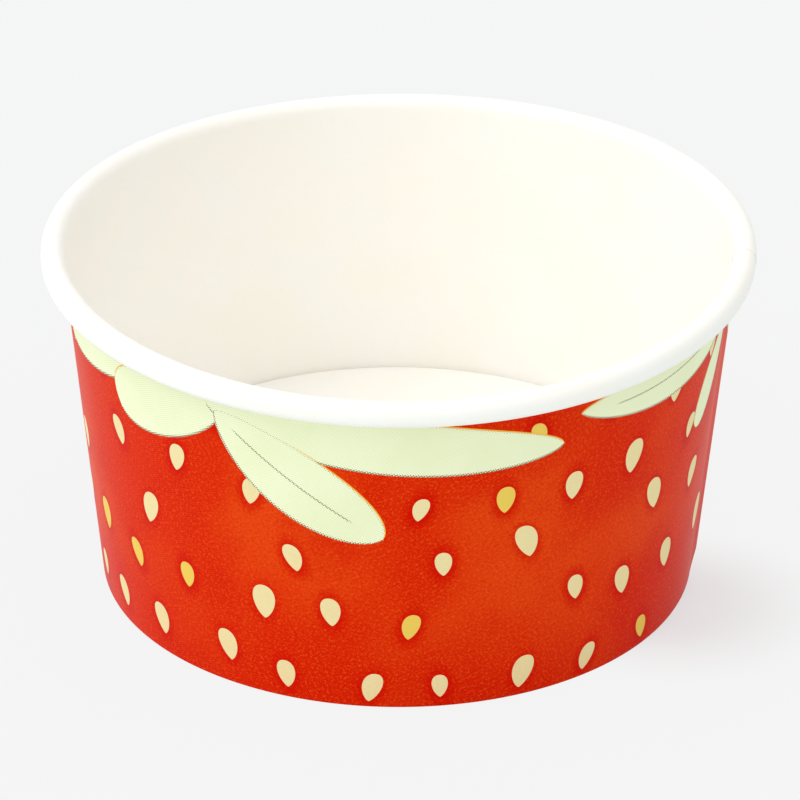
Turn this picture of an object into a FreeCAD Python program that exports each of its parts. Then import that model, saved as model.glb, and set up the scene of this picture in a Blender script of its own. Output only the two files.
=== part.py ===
import FreeCAD, Part
import math
import os
import Sketcher

# Paper dessert cup: a squat tub of coated paperboard, standing on its base with the
# mouth up. It is made of two pieces of board.
#
# sidewall:  one blank rolled into a cone and glued along a lapped seam. Its top edge is
#            rolled outwards into the rim, and its bottom edge is folded in and up as a hem.
# base_disc: a round of thinner board whose edge is turned down as a skirt. The skirt sits
#            in the pocket of the hem, so the floor of the cup lies above the table.
#
# Lengths are in millimetres and angles in degrees. The origin is on the axis of the cup,
# at the height of the table, and +Z is up.

doc = FreeCAD.newDocument("paper_dessert_cup")

# Driving dimensions: alias, value, meaning
DIMENSIONS = [
    ("rim_diameter", 95.0, "over the rolled rim"),
    ("cup_height", 49.5, "table to the top of the rim"),
    ("base_diameter", 80.6, "outer face of the wall, carried down to the table"),
    ("board", 0.4, "thickness of the sidewall board"),
    ("roll_radius", 1.6, "outside radius of the top of the rim roll"),
    ("roll_side", 0.4, "straight outer side of the rim roll"),
    ("roll_gap", 0.05, "gap between the wall and the end of the rolled edge"),
    ("fold_radius", 0.05, "inside radius of the two folds of the hem"),
    ("hem_height", 6.5, "table to the cut edge of the hem"),
    ("disc_board", 0.35, "thickness of the base disc board"),
    ("disc_bend", 0.8, "inside radius between the disc and its skirt"),
    ("recess", 8.0, "table to the underside of the disc"),
    ("skirt_gap", 0.3, "gap between the edge of the skirt and the fold under it"),
    ("glue_line", 0.02, "gap between two faces that are glued together"),
    ("lap_width", 8.0, "overlap of the side seam"),
    ("climb_width", 4.0, "width over which the outer layer climbs on to the inner one"),
    ("seam_azimuth", -6.0, "cut edge of the inner layer, in degrees from +X towards +Y"),
    ("seam_foot", 0.6, "height at which the outer layer of the seam starts"),
    ("seam_clearance", 0.3, "from the seam to the floor below it and to the roll above it"),
]

sizes = doc.addObject("Spreadsheet::Sheet", "sizes")
sizes.Label = "sizes"
for row, (alias, value, meaning) in enumerate(DIMENSIONS, start=1):
    sizes.set(f"A{row}", alias)
    sizes.set(f"B{row}", str(value))
    sizes.set(f"C{row}", meaning)
    sizes.setAlias(f"B{row}", alias)
doc.recompute()


def size(alias):
    return float(sizes.get(alias))


# A point of a meridian section: distance from the axis, height above the table
def at(out, up):
    return FreeCAD.Vector(out, up, 0)


# The wall runs straight from its foot at the table to the point where it meets the
# inside of the roll, so its lean follows from the diameters, the height and the roll.
FOOT = at(size("base_diameter") / 2, 0)
ROLL_CENTRE = at(
    size("rim_diameter") / 2 - size("roll_radius"),
    size("cup_height") - size("roll_radius"),
)
ROLL_HOLLOW = size("roll_radius") - size("board")
REACH = ROLL_CENTRE - FOOT
LEAN = math.atan2(REACH.x, REACH.y) - math.asin(ROLL_HOLLOW / REACH.Length)
UP_WALL = at(math.sin(LEAN), math.cos(LEAN))
OUT_OF_WALL = at(math.cos(LEAN), -math.sin(LEAN))
WALL_TOP = ROLL_CENTRE - OUT_OF_WALL * ROLL_HOLLOW

# Names of the two ends and the centre of a sketched line or arc
START, END, CENTRE = range(1, 4)
H_AXIS, V_AXIS = range(-1, -3, -1)
ORIGIN = (H_AXIS, START)


def new_body(name):
    body = doc.addObject("PartDesign::Body", name)
    body.Label = name
    return body


# A sketch in the meridian plane at an azimuth, with x away from the axis and y up
def meridian_sketch(body, name, azimuth=None):
    sketch = body.newObject("Sketcher::SketchObject", name)
    plane = next(f for f in body.Origin.OriginFeatures if f.Role == "XZ_Plane")
    sketch.AttachmentSupport = [(plane, "")]
    sketch.MapMode = "FlatFace"
    if azimuth:
        sketch.AttachmentOffset = FreeCAD.Placement(at(0, 0), FreeCAD.Rotation(at(0, 1), 1))
        sketch.setExpression("AttachmentOffset.Rotation.Angle", azimuth)
    return sketch


def constrain(sketch, kind, *parts):
    return sketch.addConstraint(Sketcher.Constraint(kind, *parts))


# A dimension of a sketch, drawn at its true length and then bound to the sheet
def dimension(sketch, name, expression, kind, *parts):
    value = sizes.evalExpression(expression)
    if kind == "Angle":
        value = math.radians(value)
    index = constrain(sketch, kind, *parts, value)
    sketch.renameConstraint(index, name)
    sketch.setExpression(f"Constraints.{name}", expression)


# Construction lines for the outer face of the wall and the radius at its top end
def draw_wall_line(sketch):
    wall = sketch.addGeometry(Part.LineSegment(FOOT, WALL_TOP), True)
    radius = sketch.addGeometry(Part.LineSegment(ROLL_CENTRE, WALL_TOP), True)
    constrain(sketch, "Coincident", wall, END, radius, END)
    constrain(sketch, "Perpendicular", wall, radius)
    constrain(sketch, "PointOnObject", wall, START, H_AXIS)
    dimension(sketch, "wall_foot", "sizes.base_diameter / 2", "DistanceX", *ORIGIN, wall, START)
    dimension(
        sketch, "roll_centre_out", "sizes.rim_diameter / 2 - sizes.roll_radius",
        "DistanceX", *ORIGIN, radius, START,
    )
    dimension(
        sketch, "roll_centre_up", "sizes.cup_height - sizes.roll_radius",
        "DistanceY", *ORIGIN, radius, START,
    )
    dimension(sketch, "roll_hollow", "sizes.roll_radius - sizes.board", "Distance", radius)
    return wall, radius


# The two faces of a bent sheet of even thickness. It starts at a point of its left face
# and goes on in lines and bends; a bend to the left has the left face on its inside. Each
# bend is laid out as an arc and drawn as chords of equal length, to keep the model light.
class BentSheet:
    def __init__(self, sketch, start, heading, thickness):
        self.sketch = sketch
        self.point = start
        self.heading = heading
        self.thickness = thickness
        self.runs = []

    def left_normal(self):
        return at(-self.heading.y, self.heading.x)

    def line(self, length):
        across = self.left_normal() * -self.thickness
        ahead = self.heading * length
        faces = [
            self.sketch.addGeometry(Part.LineSegment(start, start + ahead))
            for start in (self.point, self.point + across)
        ]
        self.point += ahead
        return self.keep(faces, START, END, "Parallel")

    def bend(self, radius, sweep, chords):
        side = math.copysign(1, sweep)
        centre = self.point + self.left_normal() * side * radius
        first = math.atan2(self.point.y - centre.y, self.point.x - centre.x)
        last = first + sweep
        faces = [
            self.sketch.addGeometry(
                Part.ArcOfCircle(
                    Part.Circle(centre, FreeCAD.Vector(0, 0, 1), face_radius),
                    min(first, last), max(first, last),
                ),
                True,
            )
            for face_radius in (radius, radius + side * self.thickness)
        ]
        self.point = centre + at(math.cos(last), math.sin(last)) * radius
        turn = FreeCAD.Rotation(FreeCAD.Vector(0, 0, 1), math.degrees(sweep))
        self.heading = turn.multVec(self.heading)
        entry, leave = (START, END) if side > 0 else (END, START)
        for arc, face_radius in zip(faces, (radius, radius + side * self.thickness)):
            corners = [
                centre + at(math.cos(angle), math.sin(angle)) * face_radius
                for angle in (first + sweep * i / chords for i in range(chords + 1))
            ]
            self.draw_chords(arc, entry, leave, corners)
        return self.keep(faces, entry, leave, "Coincident")

    def draw_chords(self, arc, entry, leave, corners):
        chords = [
            self.sketch.addGeometry(Part.LineSegment(*ends))
            for ends in zip(corners, corners[1:])
        ]
        constrain(self.sketch, "Coincident", arc, entry, chords[0], START)
        constrain(self.sketch, "Coincident", arc, leave, chords[-1], END)
        for before, after in zip(chords, chords[1:]):
            constrain(self.sketch, "Coincident", before, END, after, START)
            constrain(self.sketch, "PointOnObject", after, START, arc)
            constrain(self.sketch, "Equal", before, after)

    def keep(self, faces, entry, leave, pairing):
        if pairing == "Parallel":
            constrain(self.sketch, "Parallel", *faces)
        else:
            constrain(self.sketch, "Coincident", faces[0], CENTRE, faces[1], CENTRE)
        if self.runs:
            before = self.runs[-1]
            for face, previous in zip(faces, before[0]):
                constrain(self.sketch, "Tangent", previous, before[2], face, entry)
        self.runs.append((faces, entry, leave))
        return faces

    # The cut edge across the sheet at its start or at its end
    def cut_edge(self, run, end):
        left, right = self.runs[run][0]
        first, second = [g.StartPoint if end == START else g.EndPoint for g in
                         (self.sketch.Geometry[left], self.sketch.Geometry[right])]
        edge = self.sketch.addGeometry(Part.LineSegment(first, second))
        constrain(self.sketch, "Coincident", left, end, edge, START)
        constrain(self.sketch, "Coincident", right, end, edge, END)
        return edge


def revolve(body, name, sketch, kind="Revolution"):
    feature = body.newObject(f"PartDesign::{kind}", name)
    feature.Profile = sketch
    feature.ReferenceAxis = (sketch, ["V_Axis"])
    sketch.Visibility = False
    return feature


# Sidewall: hem, wall and rim roll as one bent sheet, drawn from the cut edge of the hem.
# Its left face is the food face, which ends up as the outside of the rim roll.

sidewall = new_body("sidewall")
section = meridian_sketch(sidewall, "sidewall_section", "180")
wall_line, top_radius = draw_wall_line(section)

BOARD = size("board")
FOLD = size("fold_radius") + BOARD
UPRIGHT = math.radians(90)
HEM_WIDTH = (2 * BOARD + size("disc_board") + 2 * size("glue_line")) / math.cos(LEAN)
OUTER_FOLD_REACH = FOLD * math.tan((UPRIGHT - LEAN) / 2)
INNER_FOLD_REACH = FOLD * math.tan((UPRIGHT + LEAN) / 2)
HEM_TOP = at(FOOT.x - HEM_WIDTH, 0) + UP_WALL * (size("hem_height") / math.cos(LEAN))
# Radius that brings the roll back to the wall, one gap away from it
CURL = (
    size("roll_radius") * (1 + math.cos(LEAN)) - BOARD - size("roll_gap")
    + size("roll_side") * math.sin(LEAN)
) / (1 + math.cos(LEAN))
# Chords in each bend of the roll, of the hem and of the disc
ROLL_CHORDS = 6
FOLD_CHORDS = 1
DISC_CHORDS = 2

sheet = BentSheet(section, HEM_TOP + OUT_OF_WALL * BOARD, UP_WALL * -1, BOARD)
hem_leg = sheet.line(size("hem_height") / math.cos(LEAN) - INNER_FOLD_REACH)
inner_fold = sheet.bend(size("fold_radius"), UPRIGHT + LEAN, FOLD_CHORDS)
flat = sheet.line(HEM_WIDTH - INNER_FOLD_REACH - OUTER_FOLD_REACH)
outer_fold = sheet.bend(size("fold_radius"), UPRIGHT - LEAN, FOLD_CHORDS)
wall = sheet.line((WALL_TOP - FOOT).Length - OUTER_FOLD_REACH)
roll_top = sheet.bend(size("roll_radius"), LEAN - 2 * UPRIGHT, ROLL_CHORDS)
roll_side = sheet.line(size("roll_side"))
roll_under = sheet.bend(CURL, -LEAN - 2 * UPRIGHT, ROLL_CHORDS)
hem_edge = sheet.cut_edge(0, START)
roll_edge = sheet.cut_edge(-1, START)

FOOD, PRINT = 0, 1
constrain(section, "Perpendicular", hem_leg[FOOD], hem_edge)
constrain(section, "PointOnObject", roll_under[FOOD], CENTRE, roll_edge)
constrain(section, "Horizontal", flat[PRINT])
constrain(section, "PointOnObject", flat[PRINT], START, H_AXIS)
constrain(section, "Vertical", roll_side[PRINT])
constrain(section, "Coincident", roll_top[PRINT], CENTRE, top_radius, START)
constrain(section, "Coincident", wall[PRINT], END, wall_line, END)
constrain(section, "Parallel", roll_edge, top_radius)
constrain(section, "Parallel", hem_leg[FOOD], wall_line)
dimension(section, "roll_radius", "sizes.roll_radius", "Radius", roll_top[FOOD])
dimension(section, "roll_side", "sizes.roll_side", "Distance", roll_side[FOOD])
dimension(
    section, "roll_gap", "sizes.roll_gap", "Distance", roll_under[FOOD], START, wall_line,
)
dimension(section, "outer_fold_radius", "sizes.fold_radius", "Radius", outer_fold[FOOD])
dimension(section, "inner_fold_radius", "sizes.fold_radius", "Radius", inner_fold[FOOD])
dimension(
    section, "pocket", "sizes.disc_board + 2 * sizes.glue_line",
    "Distance", hem_leg[FOOD], START, wall[FOOD],
)
dimension(
    section, "hem_height", "sizes.hem_height", "DistanceY", *ORIGIN, hem_leg[PRINT], START,
)
revolve(sidewall, "bent_sheet", section)
doc.recompute()


# Side seam: the outer layer climbs off the wall, lies over the inner layer for the width
# of the lap and ends in a cut edge. Each feature moves one strip of board round the cup.

# A strip along the wall, between two distances from its outer face and two heights
def strip_sketch(name, azimuth, inside, outside, low, high):
    sketch = meridian_sketch(sidewall, name, azimuth)
    outer_face = draw_wall_line(sketch)[0]
    distances = [sizes.evalExpression(e) for e in (inside, outside)]
    heights = [sizes.evalExpression(e) for e in (low, high)]
    corners = [
        FOOT + OUT_OF_WALL * distances[side]
        + UP_WALL * ((heights[end] + distances[side] * math.sin(LEAN)) / math.cos(LEAN))
        for side, end in ((0, 0), (1, 0), (1, 1), (0, 1))
    ]
    edges = [
        sketch.addGeometry(Part.LineSegment(corner, corners[(i + 1) % 4]))
        for i, corner in enumerate(corners)
    ]
    for i, edge in enumerate(edges):
        constrain(sketch, "Coincident", edge, END, edges[(i + 1) % 4], START)
    bottom, outer, top, inner = edges
    constrain(sketch, "Horizontal", bottom)
    constrain(sketch, "Horizontal", top)
    constrain(sketch, "Parallel", outer, outer_face)
    constrain(sketch, "Parallel", inner, outer_face)
    for label, expression, edge in (("inside", inside, inner), ("outside", outside, outer)):
        sign = math.copysign(1, sizes.evalExpression(expression))
        dimension(sketch, label, f"{sign} * ({expression})", "Distance", edge, START, outer_face)
    dimension(sketch, "low", low, "DistanceY", *ORIGIN, bottom, START)
    dimension(sketch, "high", high, "DistanceY", *ORIGIN, top, START)
    return sketch


def loft(name, kind, first, last):
    feature = sidewall.newObject(f"PartDesign::{kind}", name)
    feature.Profile = first
    feature.Sections = [last]
    feature.Ruled = True
    first.Visibility = False
    last.Visibility = False
    return feature


def angle_of(width):
    return f"2 * {width} / sizes.rim_diameter * 180 / pi"


GLUE = "sizes.glue_line"
SEAM_TOP = (
    "sizes.cup_height - 2 * sizes.roll_radius - sizes.roll_side - sizes.seam_clearance"
)
SEAM_FLOOR = "sizes.recess + sizes.disc_board + sizes.seam_clearance"
SEAM_START = "sizes.seam_azimuth"
CLIMB_START = f"sizes.seam_azimuth - {angle_of('sizes.climb_width')}"

loft(
    "step_beside_inner_edge", "SubtractiveLoft",
    strip_sketch("step_thin_end", CLIMB_START,
                 f"-2 * sizes.board - {GLUE}", f"-sizes.board - {GLUE}", SEAM_FLOOR, SEAM_TOP),
    strip_sketch("step_thick_end", SEAM_START,
                 "-2 * sizes.board", f"-{GLUE}", SEAM_FLOOR, SEAM_TOP),
)
loft(
    "climb_of_outer_layer", "AdditiveLoft",
    strip_sketch("climb_foot", CLIMB_START,
                 f"-sizes.board + {GLUE}", f"-{GLUE}", "sizes.seam_foot", SEAM_TOP),
    strip_sketch("climb_head", SEAM_START,
                 "-sizes.glue_line / 2", "sizes.board", "sizes.seam_foot", SEAM_TOP),
)
lap_section = strip_sketch(
    "lap_section", SEAM_START, "-sizes.board / 2", "sizes.board", "sizes.seam_foot", SEAM_TOP,
)
lap = revolve(sidewall, "lap", lap_section)
lap.setExpression("Angle", angle_of("sizes.lap_width"))
doc.recompute()


# Base disc: a flat round with its edge turned down along the wall, into the hem

base_disc = new_body("base_disc")
disc_section = meridian_sketch(base_disc, "base_disc_section")
disc_wall_line = draw_wall_line(disc_section)[0]
DISC = size("disc_board")
SKIRT_FOOT = BOARD + size("skirt_gap")
DISC_TOP = size("recess") + DISC
BEND = size("disc_bend") + DISC
SKIRT_FACE = FOOT - at((BOARD + size("glue_line")) / math.cos(LEAN), 0)
disc_corner = SKIRT_FACE + UP_WALL * (DISC_TOP / math.cos(LEAN))
BEND_REACH = BEND * math.tan((UPRIGHT + LEAN) / 2)
skirt_length = (DISC_TOP - SKIRT_FOOT) / math.cos(LEAN) - BEND_REACH

disc_sheet = BentSheet(disc_section, at(0, DISC_TOP), at(1, 0), DISC)
disc_flat = disc_sheet.line(disc_corner.x - BEND_REACH)
disc_bend = disc_sheet.bend(BEND, -UPRIGHT - LEAN, DISC_CHORDS)
skirt = disc_sheet.line(skirt_length)
disc_axis = disc_sheet.cut_edge(0, START)
skirt_edge = disc_sheet.cut_edge(-1, END)

constrain(disc_section, "Horizontal", disc_flat[FOOD])
constrain(disc_section, "Vertical", disc_axis)
constrain(disc_section, "PointOnObject", disc_flat[FOOD], START, V_AXIS)
constrain(disc_section, "Perpendicular", skirt[FOOD], skirt_edge)
constrain(disc_section, "Parallel", skirt[FOOD], disc_wall_line)
dimension(
    disc_section, "recess", "sizes.recess", "DistanceY", *ORIGIN, disc_flat[PRINT], START,
)
dimension(disc_section, "disc_board", "sizes.disc_board", "Distance", disc_axis)
dimension(disc_section, "disc_bend", "sizes.disc_bend", "Radius", disc_bend[PRINT])
dimension(
    disc_section, "skirt_to_wall", "sizes.board + sizes.glue_line",
    "Distance", skirt[FOOD], START, disc_wall_line,
)
dimension(
    disc_section, "skirt_foot", "sizes.board + sizes.skirt_gap",
    "DistanceY", *ORIGIN, skirt[FOOD], END,
)
revolve(base_disc, "bent_disc", disc_section)
doc.recompute()


# Checks, then one file for each piece

for item in doc.Objects:
    if "Invalid" in item.State or "Error" in item.State:
        raise RuntimeError(f"{item.Name} did not recompute: {item.State}")
    if item.TypeId == "Sketcher::SketchObject" and not item.FullyConstrained:
        raise RuntimeError(f"{item.Name} is not fully constrained")

os.makedirs("parts", exist_ok=True)
for piece in (sidewall, base_disc):
    shape = piece.Shape
    if shape.isNull() or not shape.isValid() or len(shape.Solids) != 1:
        raise RuntimeError(f"{piece.Label} is not one valid solid")
    shape.exportStep(f"parts/{piece.Label}.step")
    print(f"{piece.Label}: {shape.Volume:.1f} cubic mm")
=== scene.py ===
import bpy
import bmesh
import math
from mathutils import Matrix, Quaternion, Vector


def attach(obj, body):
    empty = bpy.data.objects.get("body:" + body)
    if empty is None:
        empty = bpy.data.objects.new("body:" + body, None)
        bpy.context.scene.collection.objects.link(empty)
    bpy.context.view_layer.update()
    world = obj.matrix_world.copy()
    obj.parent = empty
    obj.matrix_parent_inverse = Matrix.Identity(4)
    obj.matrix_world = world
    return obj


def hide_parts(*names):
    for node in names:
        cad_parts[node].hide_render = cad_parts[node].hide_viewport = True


# Paper dessert cup. Meshes are drawn in millimetres and made metres at the end.

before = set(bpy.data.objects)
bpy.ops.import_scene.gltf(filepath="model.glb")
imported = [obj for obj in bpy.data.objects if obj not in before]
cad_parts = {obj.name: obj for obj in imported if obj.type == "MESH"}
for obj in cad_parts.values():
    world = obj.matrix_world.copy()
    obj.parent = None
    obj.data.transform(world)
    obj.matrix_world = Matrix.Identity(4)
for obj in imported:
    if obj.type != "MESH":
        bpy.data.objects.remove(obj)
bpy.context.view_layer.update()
print("frame loaded")

scene = bpy.context.scene
scene.view_settings.view_transform = "Standard"
millimetre = 0.001


# Printed colours are written as 0-255 screen values and used as linear light
def screenColour(red, green, blue):
    channels = [value / 255 for value in (red, green, blue)]
    return tuple(c / 12.92 if c <= 0.04045 else ((c + 0.055) / 1.055) ** 2.4 for c in channels) + (1.0,)


# Camera

camera = {
    "place": (0.0, -0.54162, 0.31056),
    "aim": (0.00031, 0.0, 0.02396),
    "roll": 0.26,
    "lens": 203.9,
    "sensor": 36,
}
cameraData = bpy.data.cameras.new("camera")
cameraData.lens = camera["lens"]
cameraData.sensor_width = camera["sensor"]
cameraObject = bpy.data.objects.new("camera", cameraData)
scene.collection.objects.link(cameraObject)
sight = Vector(camera["aim"]) - Vector(camera["place"])
turn = sight.to_track_quat("-Z", "Y") @ Quaternion((0, 0, 1), math.radians(camera["roll"]))
cameraObject.location = camera["place"]
cameraObject.rotation_euler = turn.to_euler()
scene.camera = cameraObject
print("camera placed")


# Drawing a bent sheet: a pen walks along one face of the board in the XZ plane. A turn to
# the left has a positive angle.

def startPen(place, heading):
    bm = bmesh.new()
    for layer in ("along", "around"):
        bm.verts.layers.float.new(layer)
    bm.verts.layers.float_vector.new("right")
    bm.loops.layers.uv.new("print")
    vert = bmesh.ops.create_vert(bm, co=(place[0], 0, place[1]))["vert"][0]
    return {"bm": bm, "vert": vert, "heading": Vector((heading[0], 0, heading[1]))}


def leftOf(heading):
    return Vector((-heading.z, 0, heading.x))


def goStraight(pen, length, steps=1):
    for _ in range(steps):
        made = bmesh.ops.extrude_vert_indiv(pen["bm"], verts=[pen["vert"]])
        pen["vert"] = made["verts"][0]
        pen["vert"].co += pen["heading"] * length / steps


def goRound(pen, radius, angle, steps):
    side = math.copysign(1, angle)
    centre = pen["vert"].co + leftOf(pen["heading"]) * side * radius
    made = bmesh.ops.spin(pen["bm"], geom=[pen["vert"]], cent=centre, axis=(0, -1, 0), angle=angle, steps=steps)
    pen["vert"] = next(item for item in made["geom_last"] if isinstance(item, bmesh.types.BMVert))
    pen["heading"] = Matrix.Rotation(-angle, 3, "Y") @ pen["heading"]


# Walks the drawn line and keeps, on each vertex, the length so far and the way to the right
def measureLine(bm, start, lengthAtStart):
    along = bm.verts.layers.float["along"]
    right = bm.verts.layers.float_vector["right"]
    vert, before, travelled = start, None, lengthAtStart
    while vert:
        ahead = next((e.other_vert(vert) for e in vert.link_edges if e.other_vert(vert) is not before), None)
        back = (vert.co - before.co).normalized() if before else Vector()
        forth = (ahead.co - vert.co).normalized() if ahead else Vector()
        vert[along] = travelled
        vert[right] = -leftOf((back + forth).normalized())
        if ahead:
            travelled += (ahead.co - vert.co).length
        before, vert = vert, ahead
    return along, right


def smoothStep(value):
    value = min(max(value, 0.0), 1.0)
    return value * value * (3 - 2 * value)


def finishMesh(name, mesh, materials, sharpAngle=40):
    bm = bmesh.new()
    bm.from_mesh(mesh)
    bmesh.ops.scale(bm, verts=bm.verts, vec=(millimetre, millimetre, millimetre))
    for face in bm.faces:
        face.smooth = True
    for edge in bm.edges:
        edge.smooth = edge.calc_face_angle(0) < math.radians(sharpAngle)
    bm.to_mesh(mesh)
    bm.free()
    for slot, material in enumerate(materials):
        mesh.materials[slot] = material
    piece = bpy.data.objects[name]
    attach(piece, "root")
    return piece


# Gives a one-sided sheet its thickness on the side away from its normals
def thicken(name, bm, board):
    mesh = bpy.data.meshes.new(name)
    bm.to_mesh(mesh)
    bm.free()
    piece = bpy.data.objects.new(name, mesh)
    scene.collection.objects.link(piece)
    solidify = piece.modifiers.new("board", "SOLIDIFY")
    solidify.thickness = board
    solidify.offset = -1
    solidify.use_even_offset = True
    solidify.material_offset = 1
    solidify.material_offset_rim = 2
    for _ in range(3):
        mesh.materials.append(None)
    bpy.context.view_layer.objects.active = piece
    bpy.ops.object.modifier_apply(modifier="board")
    return mesh


# Sidewall paper: hem, wall and rim roll in one sheet, drawn along its food face

wallPaper = {
    "rimDiameter": 94.98,
    "height": 49.49,
    "footDiameter": 80.6,
    "board": 0.4,
    "rollRadius": 1.6,
    "rollSide": 0.4,
    "rollGap": 0.05,
    "foldRadius": 0.05,
    "hemHeight": 6.5,
    "pocket": 0.39,
    "seamStart": -6.0,
    "climbStart": -10.83,
    "seamEnd": 3.65,
    "seamFoot": 0.7,
    "seamTop": 45.6,
    "seamRise": 0.42,
    "seamFade": 3.1,
    "seamRow": 0.4,
    "rimNotch": 0.06,
    "notchFade": 2.0,
    "rimSaddle": 0.5,
    "saddleTurn": 0.31,
    "rimTilt": 0.43,
    "tiltTurn": 1.13,
    "rimOval": 0.001,
    "warpFrom": 8.0,
    "warpSpan": 60.0,
    "warpWhole": 41.5,
    "warpDrop": 0.87,
    "columns": 300,
    "climbColumns": 10,
    "lapColumns": 9,
}
board = wallPaper["board"]
foot = Vector((wallPaper["footDiameter"] / 2, 0, 0))
rollCentre = Vector((
    wallPaper["rimDiameter"] / 2 - wallPaper["rollRadius"], 0,
    wallPaper["height"] - wallPaper["rollRadius"],
))
reach = rollCentre - foot
rollHollow = wallPaper["rollRadius"] - board
lean = math.atan2(reach.x, reach.z) - math.asin(rollHollow / reach.length)
upWall = Vector((math.sin(lean), 0, math.cos(lean)))
outOfWall = Vector((math.cos(lean), 0, -math.sin(lean)))
wallLength = (rollCentre - outOfWall * rollHollow - foot).length


def buildWallPaper():
    upright = math.radians(90)
    fold = wallPaper["foldRadius"] + board
    foldOut = fold * math.tan((upright - lean) / 2)
    foldIn = fold * math.tan((upright + lean) / 2)
    hemWidth = (2 * board + wallPaper["pocket"]) / math.cos(lean)
    hemLength = wallPaper["hemHeight"] / math.cos(lean)
    curl = (
        wallPaper["rollRadius"] * (1 + math.cos(lean)) - board - wallPaper["rollGap"]
        + wallPaper["rollSide"] * math.sin(lean)
    ) / (1 + math.cos(lean))
    hemTop = foot - Vector((hemWidth, 0, 0)) + upWall * hemLength + outOfWall * board
    pen = startPen((hemTop.x, hemTop.z), (-upWall.x, -upWall.z))
    bm, firstVert = pen["bm"], pen["vert"]
    goStraight(pen, hemLength - foldIn, 4)
    goRound(pen, wallPaper["foldRadius"], upright + lean, 6)
    goStraight(pen, hemWidth - foldIn - foldOut, 1)
    goRound(pen, wallPaper["foldRadius"], upright - lean, 6)
    goStraight(pen, wallPaper["seamFoot"] - foldOut)
    seamRow = wallPaper["seamRow"]
    seamTall = wallPaper["seamTop"] - wallPaper["seamFoot"]
    goStraight(pen, seamRow)
    goStraight(pen, seamTall - 2 * seamRow, 16)
    goStraight(pen, seamRow)
    goStraight(pen, wallLength - wallPaper["seamTop"], 2)
    goRound(pen, wallPaper["rollRadius"], lean - 2 * upright, 18)
    goStraight(pen, wallPaper["rollSide"])
    goRound(pen, curl, -lean - 2 * upright, 18)
    # Height on the print starts at the foot of the wall, so the hem lies below zero
    hemAlong = hemLength - foldIn + hemWidth - foldIn - foldOut + upright * 2 * wallPaper["foldRadius"]
    along, right = measureLine(bm, firstVert, -hemAlong + foldOut)

    around = bm.verts.layers.float["around"]
    start, climb, end = (math.radians(wallPaper[key]) for key in ("seamStart", "climbStart", "seamEnd"))
    bmesh.ops.rotate(bm, verts=bm.verts, cent=(0, 0, 0), matrix=Matrix.Rotation(start, 3, "Z"))
    for vert in bm.verts:
        vert[around] = start
    ring = bm.verts[:] + bm.edges[:]
    fullTurn = 2 * math.pi
    for sweep, columns in (
        (fullTurn + climb - start, wallPaper["columns"]),
        (start - climb, wallPaper["climbColumns"]),
        (end - start, wallPaper["lapColumns"]),
    ):
        if sweep == end - start:
            rowMargin = 0.975 * seamRow
            seamSpan = (wallPaper["seamFoot"] + rowMargin, wallPaper["seamTop"] - rowMargin)
            ring = [
                item for item in ring
                if all(
                    seamSpan[0] < vert[along] < seamSpan[1]
                    for vert in ([item] if isinstance(item, bmesh.types.BMVert) else item.verts)
                )
            ]
        known = set(bm.verts)
        made = bmesh.ops.spin(
            bm, geom=ring, cent=(0, 0, 0), axis=(0, 0, 1), angle=sweep, steps=columns, use_merge=False,
        )
        ring = made["geom_last"]
        for vert in bm.verts:
            if vert not in known:
                pastStart = (math.atan2(vert.co.y, vert.co.x) - start) % fullTurn
                laterTurn = sweep < math.pi and pastStart < math.pi
                vert[around] = start + pastStart + fullTurn * laterTurn

    # The outer layer of the seam climbs off the wall by the thickness of the inner one
    for vert in bm.verts:
        climbed = smoothStep((vert[around] - fullTurn - climb) / (start - climb))
        if climbed > 0:
            up = vert[along]
            aboveFoot = max((up - wallPaper["seamFoot"]) / wallPaper["seamFade"], 0)
            belowTop = max((wallPaper["seamTop"] - up) / seamRow, 0)
            onWall = min(aboveFoot, 1, belowTop)
            step = wallPaper["seamRise"] * onWall
            if up > wallPaper["seamTop"]:
                step = wallPaper["rimNotch"] * smoothStep((up - wallPaper["seamTop"]) / wallPaper["notchFade"])
            printSide = Matrix.Rotation(vert[around], 3, "Z") @ vert[right]
            vert.co += printSide * step * climbed

    # Board never stays quite true: the rim waves and dips a little towards the front
    highest = wallPaper["rimSaddle"] + wallPaper["rimTilt"]
    wholeWarp = smoothStep(wallPaper["warpWhole"] / wallPaper["warpSpan"])
    for vert in bm.verts:
        azimuth = math.atan2(vert.co.y, vert.co.x)
        strain = smoothStep((vert.co.z - wallPaper["warpFrom"]) / wallPaper["warpSpan"]) / wholeWarp
        wave = (
            wallPaper["rimSaddle"] * math.cos(2 * azimuth - wallPaper["saddleTurn"])
            + wallPaper["rimTilt"] * math.cos(azimuth - wallPaper["tiltTurn"])
        )
        vert.co.z += strain * (wave - highest * wallPaper["warpDrop"])
        vert.co.xy *= 1 + strain * wallPaper["rimOval"] * (math.cos(3 * azimuth) - 1)

    # The print is laid out by the angle round the cup and the height up the wall
    layout = bm.loops.layers.uv["print"]
    for face in bm.faces:
        for loop in face.loops:
            loop[layout].uv = (loop.vert[around], loop.vert[along])
    bm.normal_update()
    return bm


bm = buildWallPaper()
middle = [face for face in bm.faces if 10 < face.calc_center_median().z < 30]
inwards = sum(face.normal.dot(face.calc_center_median() * Vector((1, 1, 0))) < 0 for face in middle)
if inwards < len(middle) / 2:
    bmesh.ops.reverse_faces(bm, faces=bm.faces)
wallMesh = thicken("sidewall_paper", bm, board)
print("sidewall paper:", len(wallMesh.polygons), "faces")


# Base disc: a round of board with its edge turned down into the pocket of the hem

discPaper = {
    "board": 0.35,
    "bend": 0.8,
    "recess": 8.0,
    "edgeHeight": 0.75,
    "glueLine": 0.02,
    "dish": 0.25,
    "columns": 192,
}


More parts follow.
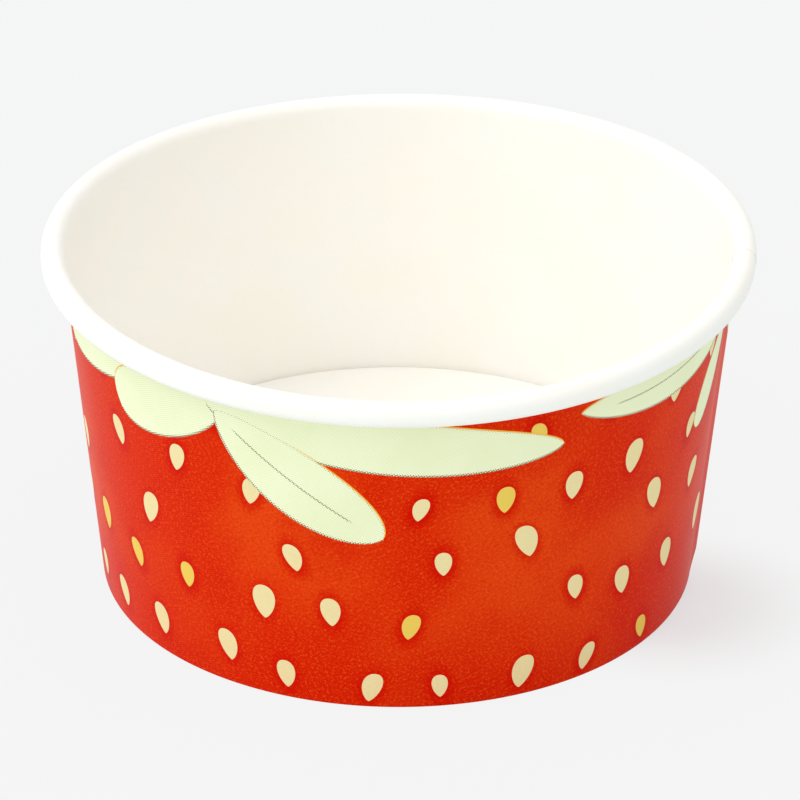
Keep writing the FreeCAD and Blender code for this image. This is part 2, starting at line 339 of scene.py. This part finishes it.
def buildDiscPaper():
    upright = math.radians(90)
    top = discPaper["recess"] + discPaper["board"]
    bend = discPaper["bend"] + discPaper["board"]
    glued = board + discPaper["glueLine"]
    wallAtTop = foot.x + top * math.tan(lean) - glued / math.cos(lean)
    flat = wallAtTop - bend * math.tan((upright + lean) / 2)
    pen = startPen((0, top), (1, 0))
    bm, firstVert = pen["bm"], pen["vert"]
    goStraight(pen, flat, 24)
    goRound(pen, bend, -upright - lean, 10)
    goStraight(pen, (pen["vert"].co.z - discPaper["edgeHeight"]) / math.cos(lean), 4)
    along, right = measureLine(bm, firstVert, 0)
    for vert in bm.verts:
        if vert[along] <= flat:
            vert.co.z -= discPaper["dish"] * (1 - smoothStep(vert[along] / flat))
    bmesh.ops.spin(
        bm, geom=bm.verts[:] + bm.edges[:], cent=(0, 0, 0), axis=(0, 0, 1), angle=2 * math.pi,
        steps=discPaper["columns"], use_merge=True,
    )
    bmesh.ops.remove_doubles(bm, verts=bm.verts, dist=0.001)
    bm.normal_update()
    return bm


bm = buildDiscPaper()
middle = [face for face in bm.faces if face.calc_center_median().xy.length < 30]
if sum(face.normal.z for face in middle) < 0:
    bmesh.ops.reverse_faces(bm, faces=bm.faces)
discMesh = thicken("disc_paper", bm, discPaper["board"])
print("disc paper:", len(discMesh.polygons), "faces")


# Shader shorthand: a number or a socket goes into any input

def put(tree, socket, value):
    if isinstance(value, bpy.types.NodeSocket):
        tree.links.new(value, socket)
    else:
        socket.default_value = value


def calc(tree, operation, *values, clamp=False):
    node = tree.nodes.new("ShaderNodeMath")
    node.operation = operation
    node.use_clamp = clamp
    for socket, value in zip(node.inputs, values):
        put(tree, socket, value)
    return node.outputs[0]


def ramp(tree, value, low, high, lowOut=0.0, highOut=1.0):
    node = tree.nodes.new("ShaderNodeMapRange")
    node.interpolation_type = "SMOOTHSTEP"
    for socket, number in zip(node.inputs, (value, low, high, lowOut, highOut)):
        put(tree, socket, number)
    return node.outputs[0]


def blend(tree, factor, first, second, kind="MIX"):
    node = tree.nodes.new("ShaderNodeMix")
    node.data_type = "RGBA"
    node.blend_type = kind
    put(tree, node.inputs[0], factor)
    put(tree, node.inputs[6], first)
    put(tree, node.inputs[7], second)
    return node.outputs[2]


def combine(tree, x, y, z=0.0):
    node = tree.nodes.new("ShaderNodeCombineXYZ")
    for socket, value in zip(node.inputs, (x, y, z)):
        put(tree, socket, value)
    return node.outputs[0]


def noise(tree, vector, scale, detail=2.0, roughness=0.5):
    node = tree.nodes.new("ShaderNodeTexNoise")
    put(tree, node.inputs["Vector"], vector)
    node.inputs["Scale"].default_value = scale
    node.inputs["Detail"].default_value = detail
    node.inputs["Roughness"].default_value = roughness
    return node.outputs[0]


def newMaterial(name, roughness):
    material = bpy.data.materials.new(name)
    material.use_nodes = True
    shader = material.node_tree.nodes["Principled BSDF"]
    shader.inputs["Roughness"].default_value = roughness
    return material, material.node_tree, shader


def objectPoint(tree):
    return tree.nodes.new("ShaderNodeTexCoord").outputs["Object"]


def addBump(tree, shader, height, strength, distance):
    bump = tree.nodes.new("ShaderNodeBump")
    bump.inputs["Strength"].default_value = strength
    bump.inputs["Distance"].default_value = distance
    tree.links.new(height, bump.inputs["Height"])
    tree.links.new(bump.outputs[0], shader.inputs["Normal"])


plainBoard = {
    "coating": screenColour(255, 252, 244),
    "palerCoating": screenColour(255, 253, 248),
    "coatedFibre": screenColour(250, 247, 236),
    "pulp": screenColour(226, 219, 202),
    "palerPulp": screenColour(246, 242, 230),
    "cloudScale": 90,
    "coatedFibreScale": 1400,
    "pulpScale": 2200,
}


# Food side: smooth coated board, warm white, with a trace of fibre under the coating
def makeCoatedBoard():
    material, tree, shader = newMaterial("coated_board", 0.42)
    point = objectPoint(tree)
    clouds = noise(tree, point, plainBoard["cloudScale"], 3)
    fibres = noise(tree, point, plainBoard["coatedFibreScale"], 3, 0.6)
    colour = blend(tree, ramp(tree, clouds, 0.35, 0.65), plainBoard["coating"], plainBoard["palerCoating"])
    colour = blend(tree, ramp(tree, fibres, 0.45, 0.75, 0.0, 0.25), colour, plainBoard["coatedFibre"])
    tree.links.new(colour, shader.inputs["Base Color"])
    shader.inputs["Specular IOR Level"].default_value = 0.4
    addBump(tree, shader, fibres, 0.12, 0.00004)
    return material


# Cut edges and the underside: bare pulp
def makeRawBoard():
    material, tree, shader = newMaterial("raw_board", 0.85)
    point = objectPoint(tree)
    fibres = noise(tree, point, plainBoard["pulpScale"], 4, 0.7)
    colour = blend(tree, fibres, plainBoard["pulp"], plainBoard["palerPulp"])
    tree.links.new(colour, shader.inputs["Base Color"])
    addBump(tree, shader, fibres, 0.4, 0.00006)
    return material


coatedBoard = makeCoatedBoard()
rawBoard = makeRawBoard()


# Printed side: a red fruit skin with pale seeds, and clusters of leaves under the rim

printed = {
    "ground": screenColour(221, 32, 2),
    "orange": screenColour(232, 66, 14),
    "deep": screenColour(212, 10, 1),
    "grain": screenColour(240, 88, 24),
    "seed": screenColour(243, 226, 170),
    "yellowSeed": screenColour(242, 208, 96),
    "leaf": screenColour(251, 254, 220),
    "leafShade": screenColour(226, 236, 176),
    "ink": screenColour(104, 96, 62),
    "gold": screenColour(246, 190, 70),
    "cloudScale": 0.045,
    "cloudDepth": 19.0,
    "washScale": 0.09,
    "washDepth": 7.0,
    "grainScale": 2.6,
    "deepFoot": 22.0,
    "seedRow": 9.4,
    "seedsRound": 25,
    "chance": 34.0,
    "seedShare": 0.76,
    "paleShare": 0.8,
    "seedHeight": 3.5,
    "seedHeightMore": 2.0,
    "seedWidth": 0.67,
    "seedTilt": 0.5,
    "dotPitch": 0.4,
    "dotSlope": 1.2,
}

# Leaves, back ones first: azimuth and height of the base, heading, length, half width, bend,
# fullness of the base and of the tip, strength of the rib
leaves = (
    (220, 44.0, 187, 21.0, 3.0, 0.5, 0.5, 0.5, 0.0),
    (239.5, 43.6, 195, 19.8, 4.9, -0.6, 0.62, 0.38, 0.0),
    (237, 44.6, -7, 47.5, 4.3, 0.6, 0.5, 0.58, 0.0),
    (238.4, 43.6, -41, 27.2, 5.1, 1.8, 0.7, 0.58, 1.0),
    (345, 45.0, 192, 33.0, 3.5, -5.2, 0.6, 0.68, 1.0),
    (347, 44.0, 236, 16.5, 2.7, 0.4, 0.7, 0.42, 0.0),
    (349, 45.0, -42, 24.0, 4.5, 1.6, 0.7, 0.42, 1.0),
    (347, 44.5, 0, 34.0, 4.0, -2.0, 0.6, 0.6, 0.0),
    (112, 44.5, 190, 30.0, 4.0, 2.0, 0.6, 0.6, 0.0),
    (114, 44.5, 222, 22.0, 4.6, 1.0, 0.7, 0.42, 1.0),
    (113, 45.0, -96, 13.0, 3.2, 0.5, 0.7, 0.5, 0.0),
    (112, 44.5, -40, 25.0, 4.8, 2.4, 0.7, 0.42, 1.0),
    (113, 44.0, -6, 42.0, 4.1, 0.6, 0.55, 0.6, 0.0),
)


def groupSockets(group, direction, names):
    for name in names:
        group.interface.new_socket(name=name, in_out=direction, socket_type="NodeSocketFloat")


# One leaf drawn over what is there already
def makeLeafGroup():
    tree = bpy.data.node_groups.new("leaf", "ShaderNodeTree")
    names = ("Around", "Up", "Radius", "Dots", "Azimuth", "Height", "Heading", "Length", "Width", "Bend",
             "Base", "Tip", "Rib", "Leaf", "Ink", "Gold")
    groupSockets(tree, "INPUT", names)
    groupSockets(tree, "OUTPUT", ("Leaf", "Ink", "Gold"))
    given = {name: tree.nodes.new("NodeGroupInput").outputs[name] for name in names}
    angle = calc(tree, "WRAP", calc(tree, "SUBTRACT", given["Around"], given["Azimuth"]), math.pi, -math.pi)
    across = calc(tree, "MULTIPLY", angle, given["Radius"])
    above = calc(tree, "SUBTRACT", given["Up"], given["Height"])
    cosine = calc(tree, "COSINE", given["Heading"])
    sine = calc(tree, "SINE", given["Heading"])
    outward = calc(tree, "MULTIPLY_ADD", across, cosine, calc(tree, "MULTIPLY", above, sine))
    sideways = calc(tree, "SUBTRACT", calc(tree, "MULTIPLY", above, cosine),
                    calc(tree, "MULTIPLY", across, sine))
    share = calc(tree, "DIVIDE", outward, given["Length"], clamp=True)
    curved = calc(tree, "MULTIPLY", calc(tree, "POWER", share, 2.0), given["Bend"])
    offRib = calc(tree, "SUBTRACT", sideways, curved)
    rest = calc(tree, "SUBTRACT", 1.0, share)
    fullness = calc(tree, "MULTIPLY", calc(tree, "POWER", share, given["Base"]),
                    calc(tree, "POWER", rest, given["Tip"]))
    total = calc(tree, "ADD", given["Base"], given["Tip"])
    widest = calc(tree, "DIVIDE", given["Base"], total)
    widestFullness = calc(tree, "MULTIPLY", calc(tree, "POWER", widest, given["Base"]),
                          calc(tree, "POWER", calc(tree, "SUBTRACT", 1.0, widest), given["Tip"]))
    halfWidth = calc(tree, "MULTIPLY", given["Width"], calc(tree, "DIVIDE", fullness, widestFullness))
    inside = calc(tree, "SUBTRACT", halfWidth, calc(tree, "ABSOLUTE", offRib))
    overshoot = calc(tree, "MAXIMUM", calc(tree, "SUBTRACT", outward, given["Length"]),
                     calc(tree, "MULTIPLY", outward, -1.0))
    inside = calc(tree, "SUBTRACT", inside, calc(tree, "MAXIMUM", overshoot, 0.0))
    cover = ramp(tree, inside, -0.04, 0.04)
    # Lower edges carry the shadow line, upper ones the ground that shows where the inks miss each other
    lower = calc(tree, "MULTIPLY_ADD", calc(tree, "MULTIPLY", calc(tree, "SIGN", offRib), cosine), -0.5, 0.5)
    edge = calc(tree, "MULTIPLY", cover, ramp(tree, inside, 0.05, 0.5, 1.0, 0.0))
    edge = calc(tree, "MULTIPLY", edge, calc(tree, "MULTIPLY_ADD", lower, 0.75, 0.25))
    ribTone = calc(tree, "MULTIPLY", given["Rib"], 0.85)
    ribSpan = calc(tree, "MULTIPLY", ramp(tree, share, 0.1, 0.16), ramp(tree, share, 0.86, 0.8))
    rib = ramp(tree, calc(tree, "ABSOLUTE", offRib), 0.03, 0.24, ribTone, 0.0)
    rib = calc(tree, "MULTIPLY", rib, ribSpan)
    tone = calc(tree, "MAXIMUM", edge, calc(tree, "MULTIPLY", rib, cover))
    # Each dot of ink grows with the tone that it stands for
    ink = ramp(tree, calc(tree, "MULTIPLY_ADD", tone, 0.72, given["Dots"]), 0.9, 1.15)
    ink = calc(tree, "MULTIPLY", ink, ramp(tree, tone, 0.02, 0.2, 0.0, 0.9))
    gold = calc(tree, "MULTIPLY", ramp(tree, inside, -0.26, -0.14), calc(tree, "SUBTRACT", 1.0, cover))
    gold = calc(tree, "MULTIPLY", gold, ramp(tree, lower, 0.55, 0.2))
    gold = calc(tree, "MULTIPLY", gold, ramp(tree, share, 0.25, 0.6))
    under = calc(tree, "SUBTRACT", 1.0, cover)
    output = tree.nodes.new("NodeGroupOutput")
    put(tree, output.inputs["Leaf"], calc(tree, "MAXIMUM", given["Leaf"], cover))
    put(tree, output.inputs["Ink"], calc(tree, "MULTIPLY_ADD", given["Ink"], under, ink))
    put(tree, output.inputs["Gold"], calc(tree, "MULTIPLY_ADD", given["Gold"], under, gold))
    return tree


def makePrintedBoard():
    material, tree, shader = newMaterial("printed_board", 0.36)
    layout = tree.nodes.new("ShaderNodeUVMap")
    layout.uv_map = "print"
    parts = tree.nodes.new("ShaderNodeSeparateXYZ")
    tree.links.new(layout.outputs[0], parts.inputs[0])
    around, up = parts.outputs[0], parts.outputs[1]
    radius = calc(tree, "MULTIPLY_ADD", up, math.sin(lean), foot.x)

    # The flat blank, unrolled: a fan about the apex of the cone, in millimetres
    footSlant = foot.x / math.sin(lean)
    slant = calc(tree, "DIVIDE", radius, math.sin(lean))
    fanAngle = calc(tree, "MULTIPLY", around, math.sin(lean))
    flatX = calc(tree, "MULTIPLY", slant, calc(tree, "SINE", fanAngle))
    flatY = calc(tree, "SUBTRACT", calc(tree, "MULTIPLY", slant, calc(tree, "COSINE", fanAngle)), footSlant)
    flat = combine(tree, flatX, flatY)

    # Screen dots on a diagonal
    slope = printed["dotSlope"]
    turnsPerDot = 2 * math.pi / printed["dotPitch"] / 1.56
    diagonal = calc(tree, "ADD", flatX, calc(tree, "MULTIPLY", flatY, slope))
    diagonal = calc(tree, "MULTIPLY", diagonal, turnsPerDot)
    crossing = calc(tree, "SUBTRACT", calc(tree, "MULTIPLY", flatX, slope), flatY)
    crossing = calc(tree, "MULTIPLY", crossing, turnsPerDot)
    waves = calc(tree, "MULTIPLY", calc(tree, "SINE", diagonal), calc(tree, "SINE", crossing))
    dots = calc(tree, "MULTIPLY_ADD", waves, 0.5, 0.5)

    # Ground: soft clouds of orange and deep red with a fine grain
    clouds = noise(tree, combine(tree, flatX, flatY, printed["cloudDepth"]), printed["cloudScale"], 2, 0.45)
    wash = noise(tree, combine(tree, flatX, flatY, printed["washDepth"]), printed["washScale"], 4, 0.6)
    grain = noise(tree, flat, printed["grainScale"], 3, 0.75)
    colour = blend(tree, ramp(tree, clouds, 0.42, 0.68), printed["ground"], printed["orange"])
    colour = blend(tree, ramp(tree, wash, 0.45, 0.75, 0.0, 0.7), colour, printed["deep"])
    colour = blend(tree, ramp(tree, up, printed["deepFoot"], 0.0, 0.0, 0.55), colour, printed["deep"])
    colour = blend(tree, ramp(tree, grain, 0.5, 0.66, 0.0, 0.7), colour, printed["grain"])
    colour = blend(tree, ramp(tree, grain, 0.5, 0.34, 0.0, 0.55), colour, printed["deep"])
    colour = blend(tree, ramp(tree, dots, 0.5, 0.9, 0.0, 0.36), colour, printed["grain"])

    # Seeds in staggered rows, each moved, tilted and sized by the luck of its own cell
    seedsRound = printed["seedsRound"]
    rowValue = calc(tree, "DIVIDE", up, printed["seedRow"])
    row = calc(tree, "FLOOR", rowValue)
    stagger = calc(tree, "MULTIPLY", calc(tree, "MODULO", calc(tree, "ADD", row, 4.0), 2.0), 0.5)
    columnValue = calc(tree, "ADD", calc(tree, "MULTIPLY", around, seedsRound / (2 * math.pi)), stagger)
    column = calc(tree, "FLOOR", columnValue)
    chance = tree.nodes.new("ShaderNodeTexWhiteNoise")
    chance.noise_dimensions = "2D"
    cellColumn = calc(tree, "MODULO", column, float(seedsRound))
    cellRow = calc(tree, "ADD", row, printed["chance"])
    tree.links.new(combine(tree, cellColumn, cellRow), chance.inputs["Vector"])
    fate = chance.outputs["Value"]
    grown = calc(tree, "LESS_THAN", fate, printed["seedShare"])
    luck = tree.nodes.new("ShaderNodeSeparateColor")
    tree.links.new(chance.outputs["Color"], luck.inputs[0])
    cellWide = calc(tree, "MULTIPLY", radius, 2 * math.pi / seedsRound)
    middleX = calc(tree, "MULTIPLY_ADD", luck.outputs[0], 0.4, 0.3)
    middleY = calc(tree, "MULTIPLY_ADD", luck.outputs[1], 0.34, 0.33)
    seedX = calc(tree, "MULTIPLY", calc(tree, "SUBTRACT", calc(tree, "FRACT", columnValue), middleX), cellWide)
    seedY = calc(tree, "SUBTRACT", calc(tree, "FRACT", rowValue), middleY)
    seedY = calc(tree, "MULTIPLY", seedY, printed["seedRow"])
    tilt = calc(tree, "MULTIPLY_ADD", luck.outputs[2], printed["seedTilt"], -printed["seedTilt"] / 2)
    seedX = calc(tree, "MULTIPLY_ADD", seedY, tilt, seedX)
    big = calc(tree, "FRACT", calc(tree, "MULTIPLY", fate, 7.3))
    tall = calc(tree, "MULTIPLY_ADD", big, printed["seedHeightMore"], printed["seedHeight"])
    share = calc(tree, "DIVIDE", calc(tree, "MULTIPLY_ADD", tall, 0.5, seedY), tall, clamp=True)
    rest = calc(tree, "SUBTRACT", 1.0, share)
    outline = calc(tree, "MULTIPLY", calc(tree, "POWER", share, 0.72), calc(tree, "POWER", rest, 0.44))
    outline = calc(tree, "MULTIPLY", outline, calc(tree, "MULTIPLY", tall, printed["seedWidth"]))
    inSeed = calc(tree, "SUBTRACT", outline, calc(tree, "ABSOLUTE", seedX))
    seedMask = calc(tree, "MULTIPLY", ramp(tree, inSeed, 0.0, 0.08), grown)
    shortY = calc(tree, "MULTIPLY", seedY, 0.62)
    squares = calc(tree, "MULTIPLY_ADD", seedX, seedX, calc(tree, "MULTIPLY", shortY, shortY))
    fromSeed = calc(tree, "SQRT", squares)
    roughEdge = calc(tree, "MULTIPLY_ADD", grain, 1.6, fromSeed)
    halo = calc(tree, "MULTIPLY", ramp(tree, roughEdge, 1.8, 3.6, 0.85, 0.0), grown)
    colour = blend(tree, halo, colour, printed["deep"])
    ripeness = calc(tree, "FRACT", calc(tree, "MULTIPLY", fate, 3.1))
    yellow = calc(tree, "GREATER_THAN", ripeness, printed["paleShare"])
    seedColour = blend(tree, yellow, printed["seed"], printed["yellowSeed"])
    seedColour = blend(tree, ramp(tree, grain, 0.5, 0.8, 0.0, 0.4), seedColour, printed["gold"])
    colour = blend(tree, seedMask, colour, seedColour)

    # Leaves
    group = makeLeafGroup()
    drawn = {"Leaf": 0.0, "Ink": 0.0, "Gold": 0.0}
    for azimuth, height, heading, length, width, bend, base, tip, rib in leaves:
        leaf = tree.nodes.new("ShaderNodeGroup")
        leaf.node_tree = group
        values = {
            "Around": around, "Up": up, "Radius": radius, "Dots": dots, "Azimuth": math.radians(azimuth),
            "Height": height, "Heading": math.radians(heading), "Length": length, "Width": width, "Bend": bend,
            "Base": base, "Tip": tip, "Rib": rib, **drawn,
        }
        for name, value in values.items():
            put(tree, leaf.inputs[name], value)
        drawn = {name: leaf.outputs[name] for name in drawn}
    leafColour = blend(tree, ramp(tree, dots, 0.4, 0.9, 0.0, 0.8), printed["leaf"], printed["leafShade"])
    leafColour = blend(tree, ramp(tree, wash, 0.4, 0.7, 0.0, 0.25), leafColour, printed["leafShade"])
    colour = blend(tree, drawn["Leaf"], colour, leafColour)
    colour = blend(tree, calc(tree, "MINIMUM", drawn["Gold"], 1.0), colour, printed["gold"])
    colour = blend(tree, calc(tree, "MINIMUM", drawn["Ink"], 1.0), colour, printed["ink"])
    tree.links.new(colour, shader.inputs["Base Color"])
    # The red ink keeps its colour where it shines, and turns white only at the edges
    shader.inputs["Specular Tint"].default_value = (1.0, 0.14, 0.05, 1.0)
    shader.inputs["IOR"].default_value = 1.11
    fibres = noise(tree, flat, 2.0, 3, 0.6)
    addBump(tree, shader, fibres, 0.1, 0.00005)
    return material


printedBoard = makePrintedBoard()
sidewallPaper = finishMesh("sidewall_paper", wallMesh, (coatedBoard, printedBoard, rawBoard))
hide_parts("sidewall")
discPiece = finishMesh("disc_paper", discMesh, (coatedBoard, rawBoard, rawBoard))
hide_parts("base_disc")
print("board finished")


# Stage: a pale floor and soft light, with the lamp above and to the left

stage = {
    "paper": screenColour(245, 245, 245),
    "floor": screenColour(232, 243, 244),
    "floorSize": 6,
    "shadowShare": 0.04,
    "nearShadowShare": 0.42,
    "shadowPlace": (0.040, -0.014, 0.0),
    "shadowCore": 0.004,
    "shadowReach": 0.022,
    "sky": 0.99,
    "skyRight": 0.36,
    "lamp": 0.66,
    "lampSoftness": 40,
    "lampFrom": (-1.15, -0.35, 1.45),
}


def seenRays(tree):
    rays = tree.nodes.new("ShaderNodeLightPath")
    return calc(tree, "MAXIMUM", rays.outputs["Is Camera Ray"], rays.outputs["Is Glossy Ray"])


# The floor shows the pale background where the light is even, and takes a share of shadow
def makeFloorMaterial():
    material, tree, shader = newMaterial("pale_floor", 0.9)
    shader.inputs["Base Color"].default_value = stage["floor"]
    shader.inputs["Specular IOR Level"].default_value = 0.0
    glow = tree.nodes.new("ShaderNodeEmission")
    glow.inputs["Color"].default_value = stage["paper"]
    seen = seenRays(tree)
    away = tree.nodes.new("ShaderNodeVectorMath")
    away.operation = "DISTANCE"
    tree.links.new(objectPoint(tree), away.inputs[0])
    away.inputs[1].default_value = stage["shadowPlace"]
    shares = (stage["nearShadowShare"], stage["shadowShare"])
    shadow = ramp(tree, away.outputs["Value"], stage["shadowCore"], stage["shadowReach"], *shares)
    mixed = tree.nodes.new("ShaderNodeMixShader")
    put(tree, mixed.inputs[0], calc(tree, "MULTIPLY", seen, calc(tree, "SUBTRACT", 1.0, shadow)))
    tree.links.new(shader.outputs[0], mixed.inputs[1])
    tree.links.new(glow.outputs[0], mixed.inputs[2])
    tree.links.new(mixed.outputs[0], tree.nodes["Material Output"].inputs[0])
    return material


bm = bmesh.new()
bmesh.ops.create_grid(bm, x_segments=1, y_segments=1, size=stage["floorSize"])
floorMesh = bpy.data.meshes.new("floor")
bm.to_mesh(floorMesh)
bm.free()
floorMesh.materials.append(makeFloorMaterial())
floor = bpy.data.objects.new("floor", floorMesh)
scene.collection.objects.link(floor)

world = bpy.data.worlds.new("studio")
scene.world = world
world.use_nodes = True
tree = world.node_tree
background = tree.nodes["Background"]
seen = seenRays(tree)
put(tree, background.inputs["Color"], blend(tree, seen, (1, 1, 1, 1), stage["paper"]))
# Light from low on the right is weaker
way = tree.nodes.new("ShaderNodeSeparateXYZ")
tree.links.new(tree.nodes.new("ShaderNodeTexCoord").outputs["Generated"], way.inputs[0])
lowRight = calc(tree, "MULTIPLY_ADD", way.outputs[2], -1.0, way.outputs[0])
strength = ramp(tree, lowRight, 0.0, 0.8, stage["sky"], stage["skyRight"])
put(tree, background.inputs["Strength"], calc(tree, "MAXIMUM", seen, strength))

lamp = bpy.data.lights.new("lamp", "SUN")
lamp.energy = stage["lamp"]
lamp.angle = math.radians(stage["lampSoftness"])
lampObject = bpy.data.objects.new("lamp", lamp)
lampObject.rotation_euler = Vector(stage["lampFrom"]).to_track_quat("Z", "Y").to_euler()
scene.collection.objects.link(lampObject)
print("stage set")
